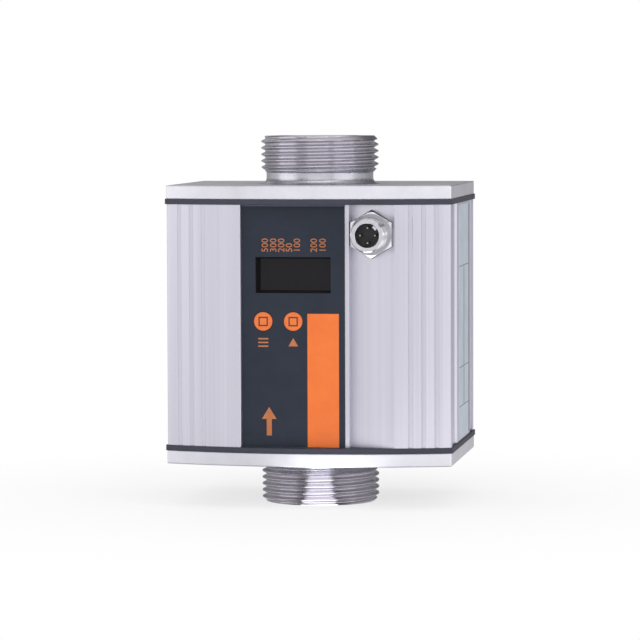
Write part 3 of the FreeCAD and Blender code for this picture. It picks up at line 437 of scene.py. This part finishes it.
def finishPiece(name, bm, material, body, replaced=(), sharpDegrees=32):
    # mesh object in the frame, smooth but for its sharp edges, riding on its body
    bmesh.ops.recalc_face_normals(bm, faces=bm.faces)
    for face in bm.faces:
        face.smooth = True
    for edge in bm.edges:
        edge.smooth = len(edge.link_faces) == 2 and edge.calc_face_angle() < math.radians(sharpDegrees)
    mesh = bpy.data.meshes.new(name)
    bm.to_mesh(mesh)
    bm.free()
    mesh.materials.append(materials[material])
    piece = bpy.data.objects.new(name, mesh)
    scene.collection.objects.link(piece)
    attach(piece, body)
    if replaced:
        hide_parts(*replaced)
    return piece


def nodeBlank(name):
    # welded copy of a node's mesh, to be cut and rebuilt
    bm = bmesh.new()
    bm.from_mesh(nodes[name].data)
    bmesh.ops.remove_doubles(bm, verts=bm.verts, dist=joins["weld"])
    return bm


def cutOff(bm, point, outward):
    # takes away what lies past a plane
    everything = list(bm.verts) + list(bm.edges) + list(bm.faces)
    bmesh.ops.bisect_plane(bm, geom=everything, dist=joins["cut"], plane_co=point, plane_no=outward,
                           clear_outer=True)


def threadForm(pitch, flankDegrees, depth, rounding, steps=3):
    # (distance along, depth) over one pitch, crest first: rounded crest, straight flank, rounded root
    turns = [math.radians(90 - flankDegrees) * k / steps for k in range(steps + 1)]
    quarter = [(rounding * math.sin(turn), rounding * (1 - math.cos(turn))) for turn in turns]
    near, far = quarter[-1], (pitch / 2 - quarter[-1][0], depth - quarter[-1][1])
    half = quarter + [((near[0] + far[0]) / 2, (near[1] + far[1]) / 2)]
    half += [(pitch / 2 - x, depth - d) for x, d in reversed(quarter)]
    return half + [(pitch - x, d) for x, d in reversed(half[1:-1])]


def threadedTube(bm, spec, place):
    # tube with a thread outside; place turns (radius, angle, depth from the end) to a point
    form = threadForm(spec["pitch"], spec["flank"], spec["depth"], spec["rounding"])
    count, segments, pitch = len(form), spec["segments"], spec["pitch"]
    rim = spec["radius"] - spec["chamfer"]
    before, spare = 2, 3  # turns that start outside the end, and turns more than the length needs
    turns = math.ceil(spec["length"] / pitch) + spare
    angles = [spec["crestAngle"] + spec["hand"] * 360 * j / segments for j in range(segments + 1)]
    grid = []
    for j, angle in enumerate(angles):
        column = []
        for i in range(count * turns):
            along, drop = form[i % count]
            t = spec["crestAt"] + pitch * (i // count - before + j / segments) + along
            t = min(max(t, 0), spec["length"])
            radius = min(spec["radius"] - drop, rim + t)
            radius = min(radius, max(spec["radius"] - (t - spec["threadEnd"]), spec["neck"]))
            if t == spec["length"]:
                radius = spec["neck"]
            if t == 0:
                radius = rim
            column.append(bm.verts.new(place(radius, angle, t)))
        grid.append(column)
    for j in range(segments):
        for i in range(count * turns - 1):
            bm.faces.new((grid[j][i], grid[j + 1][i], grid[j + 1][i + 1], grid[j][i + 1]))
    # end face, bevelled edge and bore
    bore, edge = spec["bore"], spec["boreChamfer"]
    rings = []
    for radius, t in ((rim, 0), (bore + edge, 0), (bore, edge), (bore, spec["length"])):
        rings.append([bm.verts.new(place(radius, angle, t)) for angle in angles[:-1]])
    for ring, following in zip(rings, rings[1:]):
        for j in range(segments):
            k = (j + 1) % segments
            bm.faces.new((ring[j], ring[k], following[k], following[j]))


# measuring pipe with its two pipe threads; crest places are read off the left outline
pipeThread = {
    "pitch": 2.309, "flank": 27.5, "depth": 1.4785, "rounding": 0.3171, "radius": 20.955, "chamfer": 1.5,
    "threadEnd": 11.1, "neck": 19.05, "bore": 16.025, "boreChamfer": 0.8, "segments": 192,
    "crestAngle": 188.6,
}
pipeEnds = {"lower": {"crestAt": 1.5, "hand": 1, "length": 13.05},
            "upper": {"crestAt": 2.0, "hand": -1, "length": 14.0}}


def buildPipe():
    bm = nodeBlank("measuring_pipe")
    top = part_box("measuring_pipe")[1].z
    for end in pipeEnds.values():
        spec = dict(pipeThread, **end)
        base = 0 if spec["hand"] > 0 else top
        cutOff(bm, (0, 0, base + spec["hand"] * spec["length"] * mm), (0, 0, -spec["hand"]))

        def onPipe(radius, angle, t, base=base, hand=spec["hand"]):
            turn = math.radians(angle)
            return radius * mm * math.cos(turn), radius * mm * math.sin(turn), base + hand * t * mm

        threadedTube(bm, spec, onPipe)
    bmesh.ops.remove_doubles(bm, verts=bm.verts, dist=joins["seam"])
    # turned where it is threaded, as drawn between
    cut = pipeThread["threadEnd"] * mm
    for face in bm.faces:
        face.material_index = int(cut < face.calc_center_median().z < top - cut)
    pipe = finishPiece("measuringPipe", bm, "turnedStainlessSteel", "meter_body",
                       ["measuring_pipe"])
    pipe.data.materials.append(materials["drawnStainlessSteel"])


buildPipe()
print("pipe threaded")

# round socket with a fine metric thread; seen from the mouth it turns clockwise inwards, so its hand is -1
socketThread = {
    "pitch": 1.0, "flank": 30, "depth": 0.58, "rounding": 0.1, "radius": 6.0, "chamfer": 0.5,
    "threadEnd": 9.8, "neck": 5.4, "segments": 96, "crestAngle": -45, "crestAt": 0.7, "hand": -1,
    "length": 10.5, "bore": 4.15, "boreChamfer": 0.2, "sharpDegrees": 25,
    "keyWidth": 1.6, "keyHeight": 0.9, "keyRoot": 0.3, "keyStart": 0.5, "keyEnd": 6.6, "keyAngle": 45,
}


def buildSocket():
    spec = socketThread
    low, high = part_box("connector_shell")
    axisX, axisZ, mouth = (low.x + high.x) / 2, (low.z + high.z) / 2, low.y
    bm = nodeBlank("connector_shell")
    cutOff(bm, (0, mouth + spec["length"] * mm, 0), (0, -1, 0))

    def onSocket(radius, angle, t):
        turn = math.radians(angle)
        return axisX + radius * mm * math.cos(turn), mouth + t * mm, axisZ + radius * mm * math.sin(turn)

    threadedTube(bm, spec, onSocket)
    # key in the bore, rooted in its wall
    bore, lean = spec["bore"], math.radians(spec["keyAngle"])
    corners = []
    for t in (spec["keyStart"], spec["keyEnd"]):
        for reach in (bore - spec["keyHeight"], bore + spec["keyRoot"]):
            for side in (-0.5, 0.5):
                x = reach * math.cos(lean) - side * spec["keyWidth"] * math.sin(lean)
                z = reach * math.sin(lean) + side * spec["keyWidth"] * math.cos(lean)
                corners.append(bm.verts.new((axisX + x * mm, mouth + t * mm, axisZ + z * mm)))
    for loop in ((0, 1, 3, 2), (4, 6, 7, 5), (0, 2, 6, 4), (1, 5, 7, 3), (0, 4, 5, 1), (2, 3, 7, 6)):
        bm.faces.new([corners[k] for k in loop])
    bmesh.ops.remove_doubles(bm, verts=bm.verts, dist=joins["seam"])
    finishPiece("connectorShell", bm, "nickelPlatedBrass", "meter_body", ["connector_shell"],
                sharpDegrees=spec["sharpDegrees"])


buildSocket()

# shallow cone between the barrel and the hexagon's corners; its darker metal is painted shade for the
# reflections there
socketCollar = {"inner": 5.4, "outer": 7.1, "rise": 0.4, "root": 0.3, "barrel": 10.6, "segments": 96}


def buildCollar():
    spec = socketCollar
    low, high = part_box("connector_shell")
    axisX, axisZ, face = (low.x + high.x) / 2, (low.z + high.z) / 2, low.y + spec["barrel"] * mm
    angles = [2 * math.pi * k / spec["segments"] for k in range(spec["segments"])]
    bm = bmesh.new()
    rings = []
    for radius, y in ((spec["inner"], -spec["rise"]), (spec["outer"], 0), (spec["outer"], spec["root"]),
                      (spec["inner"], spec["root"])):
        rings.append([bm.verts.new((axisX + radius * mm * math.cos(a), face + y * mm,
                                    axisZ + radius * mm * math.sin(a))) for a in angles])
    for ring, following in zip(rings, rings[1:] + rings[:1]):
        for k in range(spec["segments"]):
            n = (k + 1) % spec["segments"]
            bm.faces.new((ring[k], ring[n], following[n], following[k]))
    finishPiece("connectorCollar", bm, "blastedNickelAndPaintedShade", "meter_body")


buildCollar()

# contacts in the socket: rods with a domed tip
contactPins = {"radius": 0.5, "count": 4, "segments": 24, "domeSteps": 6}


def buildPins():
    spec = contactPins
    low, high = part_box("connector_pins")
    middle, circle = (low + high) / 2, (high.x - low.x) / 2 - spec["radius"] * mm
    angles = [2 * math.pi * k / spec["segments"] for k in range(spec["segments"])]
    bm = bmesh.new()
    for index in range(spec["count"]):
        turn = 2 * math.pi * index / spec["count"]
        axisX, axisZ = middle.x + circle * math.cos(turn), middle.z + circle * math.sin(turn)
        tip = bm.verts.new((axisX, low.y, axisZ))
        rings = []
        for step in range(1, spec["domeSteps"] + 2):
            lean = math.pi / 2 * min(step / spec["domeSteps"], 1)
            radius = spec["radius"] * mm * math.sin(lean)
            y = low.y + spec["radius"] * mm * (1 - math.cos(lean)) if step <= spec["domeSteps"] else high.y
            rings.append([bm.verts.new((axisX + radius * math.cos(a), y, axisZ + radius * math.sin(a)))
                          for a in angles])
        for k in range(spec["segments"]):
            n = (k + 1) % spec["segments"]
            bm.faces.new((tip, rings[0][k], rings[0][n]))
            for ring, following in zip(rings, rings[1:]):
                bm.faces.new((ring[k], following[k], following[n], ring[n]))
        bm.faces.new(rings[-1])
    finishPiece("connectorPins", bm, "goldPlatedBrass", "meter_body", ["connector_pins"])


buildPins()
print("socket threaded")


def plate(bm, outline, front, thickness):
    # thin printed shape standing in a plane across Y; outline holds (x, z) in millimetres
    layers = []
    for y in (front - thickness * mm, front):
        layers.append([bm.verts.new((x * mm, y, z * mm)) for x, z in outline])
    bm.faces.new(layers[0])
    bm.faces.new(list(reversed(layers[1])))
    for k in range(len(outline)):
        n = (k + 1) % len(outline)
        bm.faces.new((layers[0][k], layers[1][k], layers[1][n], layers[0][n]))


def bar(x0, x1, z0, z1):
    return [(x0, z0), (x1, z0), (x1, z1), (x0, z1)]


def numberUp(bm, text, x, z, height, front, thickness, digitShare=0.7, steps=4):
    # plain number that reads upwards from z, its foot at x; a digit fills a share of the font's size
    curve = bpy.data.curves.new("number", "FONT")
    curve.body = text
    curve.size = height * mm / digitShare
    curve.extrude = thickness * mm / 2
    curve.resolution_u = steps
    holder = bpy.data.objects.new("number", curve)
    mesh = bpy.data.meshes.new_from_object(holder)
    stand = Matrix.Rotation(math.pi / 2, 4, "X") @ Matrix.Rotation(math.pi / 2, 4, "Z")
    mesh.transform(Matrix.Translation((x * mm, front - thickness * mm / 2, z * mm)) @ stand)
    bm.from_mesh(mesh)
    bpy.data.objects.remove(holder)
    bpy.data.curves.remove(curve)
    bpy.data.meshes.remove(mesh)


# print on the front label: one stripe and plain marks for lights, keys and flow; a pale rim at the top is
# painted light and shade, for the edge between the label and the gasket
labelPrint = {
    "thickness": 0.03, "stripe": (0.4, 11.5, 68.7), "edge": 0.05, "rim": 0.45,
    "numbers": {-14.56: "500", -11.6: "300", -8.78: "200", -6.03: "50", -3.24: "100", 2.68: "200",
                5.78: "100"},
    "numberFoot": 90.1, "numberHeight": 2.3, "iconHeight": 58.6,
    "bars": {"half": 1.8, "step": 1.3, "line": 0.5},
    "triangle": {"half": 1.7, "below": 1.3, "above": 1.6},
    "arrow": {"x": -13.2, "foot": 26.0, "tip": 36.0, "head": 4.2, "stem": 0.9, "wing": 2.6},
}


def buildLabelPrint():
    look = labelPrint
    low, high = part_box("front_label")
    front, thick = low.y, look["thickness"]
    left, right, top = look["stripe"]
    bm = bmesh.new()
    plate(bm, bar(left, right, low.z / mm + look["edge"], top), front, thick)
    finishPiece("labelStripe", bm, "printedOrangeInk", "meter_body")
    # the rim is painted light and shade: a slate strip for the edge between the label and the gasket
    bm = bmesh.new()
    left, right, top = low.x / mm + look["edge"], high.x / mm - look["edge"], high.z / mm - look["edge"]
    plate(bm, bar(left, right, top - look["rim"], top), front, thick)
    finishPiece("labelRim", bm, "paintedEdgeSlate", "meter_body")
    bm = bmesh.new()
    for middle, text in look["numbers"].items():
        foot = middle + look["numberHeight"] / 2
        numberUp(bm, text, foot, look["numberFoot"], look["numberHeight"], front, thick)
    modeLow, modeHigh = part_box("mode_button")
    setLow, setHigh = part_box("set_button")
    x, z = (modeLow.x + modeHigh.x) / 2 / mm, look["iconHeight"]
    half, line = look["bars"]["half"], look["bars"]["line"] / 2
    for step in (-1, 0, 1):
        level = z + step * look["bars"]["step"]
        plate(bm, bar(x - half, x + half, level - line, level + line), front, thick)
    x, shape = (setLow.x + setHigh.x) / 2 / mm, look["triangle"]
    half, foot = shape["half"], z - shape["below"]
    plate(bm, [(x - half, foot), (x + half, foot), (x, z + shape["above"])], front, thick)
    x, foot, tip, stem, wing = (look["arrow"][key] for key in ("x", "foot", "tip", "stem", "wing"))
    head = tip - look["arrow"]["head"]
    plate(bm, [(x - stem, foot), (x + stem, foot), (x + stem, head), (x + wing, head), (x, tip),
               (x - wing, head), (x - stem, head)], front, thick)
    finishPiece("labelMarks", bm, "printedOchreInk", "meter_body")


buildLabelPrint()

# square outline printed on each key
keyPrint = {"side": 3.3, "line": 0.45, "thickness": 0.03}


def buildKeyPrint(name, button, body):
    low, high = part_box(button)
    x, z = (low.x + high.x) / 2 / mm, (low.z + high.z) / 2 / mm
    outer, inner = keyPrint["side"] / 2, keyPrint["side"] / 2 - keyPrint["line"]
    outlines = [
        bar(x - outer, x + outer, z + inner, z + outer),
        bar(x - outer, x + outer, z - outer, z - inner),
        bar(x - outer, x - inner, z - inner, z + inner),
        bar(x + inner, x + outer, z - inner, z + inner),
    ]
    bm = bmesh.new()
    for outline in outlines:
        plate(bm, outline, low.y, keyPrint["thickness"])
    finishPiece(name, bm, "printedMaroonInk", body)


buildKeyPrint("modeKeyPrint", "mode_button", "mode_key")
buildKeyPrint("setKeyPrint", "set_button", "set_key")

# empty ruled table on the side film and a grey band along its back edge, the lines broad enough to show at
# the photograph's slant
sidePrint = {"thickness": 0.02, "margin": 0.4, "band": 4.0, "line": 1.8, "row": 0.4, "divider": 10.7,
             "rows": (34.0, 48.0, 84.0)}


def buildSidePrint():
    look = sidePrint
    low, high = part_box("side_label")
    near, far = low.y / mm + look["margin"], high.y / mm - look["margin"]
    foot, top = low.z / mm + look["margin"], high.z / mm - look["margin"]
    half, thin = look["line"] / 2, look["row"] / 2
    before, after = look["divider"] - half, look["divider"] + half
    inner, rows = far - look["band"], look["rows"]
    # a grey band along the film's back edge, and the divider
    lines = [bar(inner, far, foot, top), bar(before, after, rows[0] - thin, rows[-1] + thin)]
    for z in rows:
        lines += [bar(near, before, z - thin, z + thin), bar(after, inner, z - thin, z + thin)]
    bm = bmesh.new()
    for outline in lines:
        plate(bm, outline, 0, look["thickness"])
    # from the front plane to the side: along the film, and out from it
    bm.transform(Matrix.Translation((high.x, 0, 0)) @ Matrix.Rotation(math.pi / 2, 4, "Z"))
    finishPiece("sidePrint", bm, "printedGreyInk", "meter_body")


buildSidePrint()
print("prints laid")
